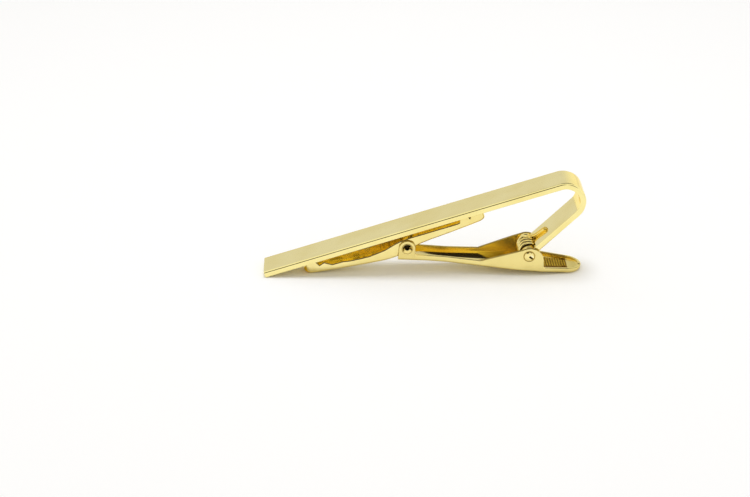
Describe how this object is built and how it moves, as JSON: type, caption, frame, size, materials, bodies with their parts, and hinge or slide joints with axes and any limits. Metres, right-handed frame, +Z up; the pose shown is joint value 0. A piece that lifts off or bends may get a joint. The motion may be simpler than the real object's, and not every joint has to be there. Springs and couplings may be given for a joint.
{
  "type": "tie clip",
  "caption": "Sprung tie clip: a flat front bar rolled into a hook, a lever hinged on its return leg, and a rocking toothed jaw that grips against the bar.",
  "frame": {"origin": "middle of the part's footprint, on the table that the closed clip lies on", "axes": "+X along the clip from the front bar's free tip to the hook, +Y across it, away from the picture's camera, +Z up from the table; the bar's tip and the lever's nose touch the table"},
  "size_m": [0.0552, 0.0076, 0.0169],
  "materials": {
    "front_bar": "polished, gold plated",
    "lever": "polished, gold plated",
    "jaw": "polished, gold plated",
    "pins": "polished, gold plated",
    "spring": "bright, gold plated"
  },
  "bodies": {
    "lever_body": {"lever": "lever", "hinge_pin": "pins", "jaw_pin": "pins", "torsion_spring": "spring"},
    "bar_body": {"front_bar": "front_bar"},
    "jaw_body": {"jaw": "jaw"}
  },
  "joints": [
    {"name": "lever_hinge", "type": "hinge", "parent": "lever_body", "child": "bar_body", "pos_m": [0.01811, 0, 0.00364], "axis": [0, 1, 0], "range_deg": [0, 30], "stiffness_Nm_per_rad": 0.03, "springref_deg": -34.38, "deforming": ["torsion_spring"]},
    {"name": "jaw_hinge", "type": "hinge", "parent": "lever_body", "child": "jaw_body", "pos_m": [-0.00281, 0, 0.00475], "axis": [0, 1, 0], "range_deg": [0, 30]}
  ],
  "couplings": [
    {"joint": "jaw_hinge", "follows": "lever_hinge", "ratio": 1}
  ]
}
